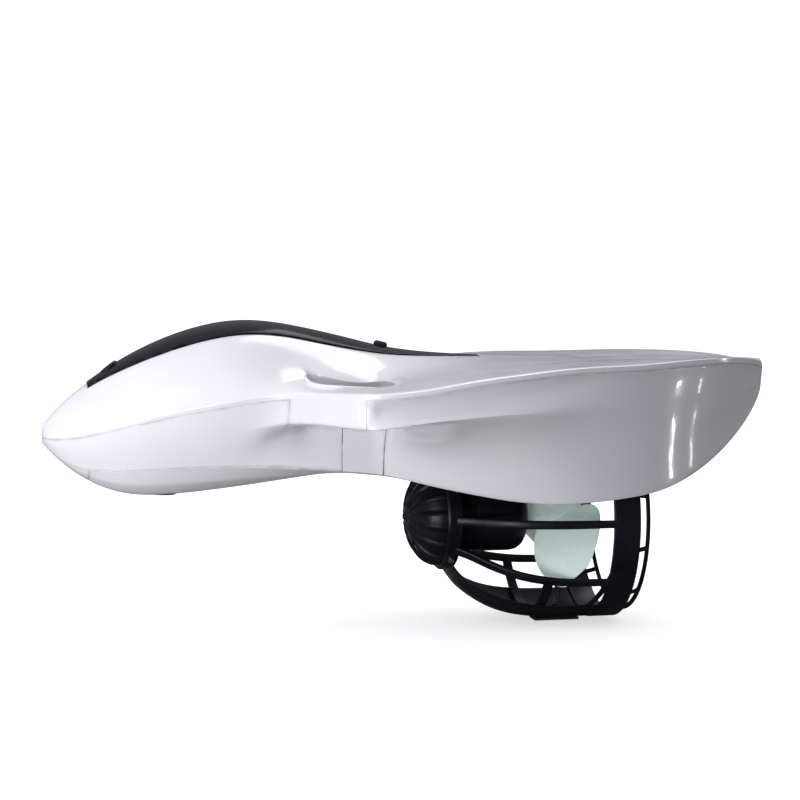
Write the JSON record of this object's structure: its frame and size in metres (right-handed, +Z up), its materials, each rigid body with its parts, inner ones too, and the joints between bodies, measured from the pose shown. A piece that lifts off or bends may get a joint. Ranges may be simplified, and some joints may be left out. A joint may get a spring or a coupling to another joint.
{
  "type": "underwater scooter",
  "caption": "Hand-held electric sea scooter: pointed white hull, diagonal side handles, wide rear wing and a caged propeller thruster below.",
  "frame": {"origin": "under the middle of the length, on the centre plane, at the height of the rubber foot's flat face", "axes": "+X from the nose to the stern, +Y across the body, +Z up; the handles and levers named right are at +Y"},
  "size_m": [0.75, 0.4144, 0.3143],
  "materials": {
    "shell_white": "high gloss",
    "cover_black": "mirror gloss",
    "thruster_black": "satin",
    "dark_grey": "satin",
    "rubber": "matt",
    "propeller_mint": "translucent gloss",
    "steel": "satin",
    "copper": "enamelled copper windings",
    "aluminium": "satin",
    "board_green": "solder mask",
    "battery_blue": "shrink wrap",
    "foam": "closed-cell foam",
    "cable_orange": "satin"
  },
  "bodies": {
    "hull": {"battery_socket": "thruster_black", "button_seal": "rubber", "camera_socket": "thruster_black", "control_board": "board_green", "controller_heatsink": "aluminium", "float_left": "foam", "float_right": "foam", "front_bearing": "steel", "grip_lower_left": "shell_white", "grip_lower_right": "shell_white", "guard_cage": "thruster_black", "guard_screw_1": "steel", "guard_screw_2": "steel", "guard_screw_3": "steel", "guard_screw_4": "steel", "intake_dome": "thruster_black", "lever_bracket_left": "dark_grey", "lever_bracket_right": "dark_grey", "lever_pin_left": "steel", "lever_pin_right": "steel", "lever_spring_left": "steel", "lever_spring_right": "steel", "motor_cable": "cable_orange", "motor_controller": "dark_grey", "motor_end_cap": "thruster_black", "motor_housing": "thruster_black", "motor_stator": "copper", "nose_lower_shell": "shell_white", "power_cable": "cable_orange", "pylon": "thruster_black", "pylon_bolt_1": "steel", "pylon_bolt_2": "steel", "pylon_bolt_3": "steel", "pylon_bolt_4": "steel", "rear_bearing": "steel", "rear_hull": "shell_white", "shaft_seal": "rubber", "skid_pad": "rubber", "thruster_bay_liner": "dark_grey", "top_cover": "cover_black", "upper_shell": "shell_white", "waist_band": "shell_white"},
    "propeller_group": {"propeller": "propeller_mint", "prop_nut": "steel", "drive_pin": "steel", "prop_shaft": "steel", "motor_rotor": "steel"},
    "throttle_left": {"throttle_lever_left": "thruster_black"},
    "throttle_right": {"throttle_lever_right": "thruster_black"},
    "button": {"power_button": "rubber"},
    "battery_module": {"belly_pan": "shell_white", "battery_pack": "battery_blue", "battery_plug": "thruster_black", "battery_seal": "rubber"},
    "latch": {"belly_latch": "dark_grey"}
  },
  "joints": [
    {"name": "propeller_spin", "type": "hinge", "parent": "hull", "child": "propeller_group", "pos_m": [0.155, 0, 0.112], "axis": [1, 0, 0], "continuous": true},
    {"name": "throttle_left_squeeze", "type": "hinge", "parent": "hull", "child": "throttle_left", "pos_m": [-0.07256, -0.14335, 0.236], "axis": [0, 0, 1], "range_deg": [0, 8]},
    {"name": "throttle_right_squeeze", "type": "hinge", "parent": "hull", "child": "throttle_right", "pos_m": [-0.07256, 0.14335, 0.236], "axis": [0, 0, -1], "range_deg": [0, 8]},
    {"name": "power_button_press", "type": "slide", "parent": "hull", "child": "button", "axis": [-0.2323, 0, -0.9726], "range_m": [0, 0.002]},
    {"name": "battery_release", "type": "slide", "parent": "hull", "child": "battery_module", "axis": [0, 0, -1], "range_m": [0, 0.12]},
    {"name": "latch_turn", "type": "hinge", "parent": "battery_module", "child": "latch", "pos_m": [-0.256, 0, 0.13872], "axis": [0, 0, 1], "range_deg": [0, 90]}
  ]
}
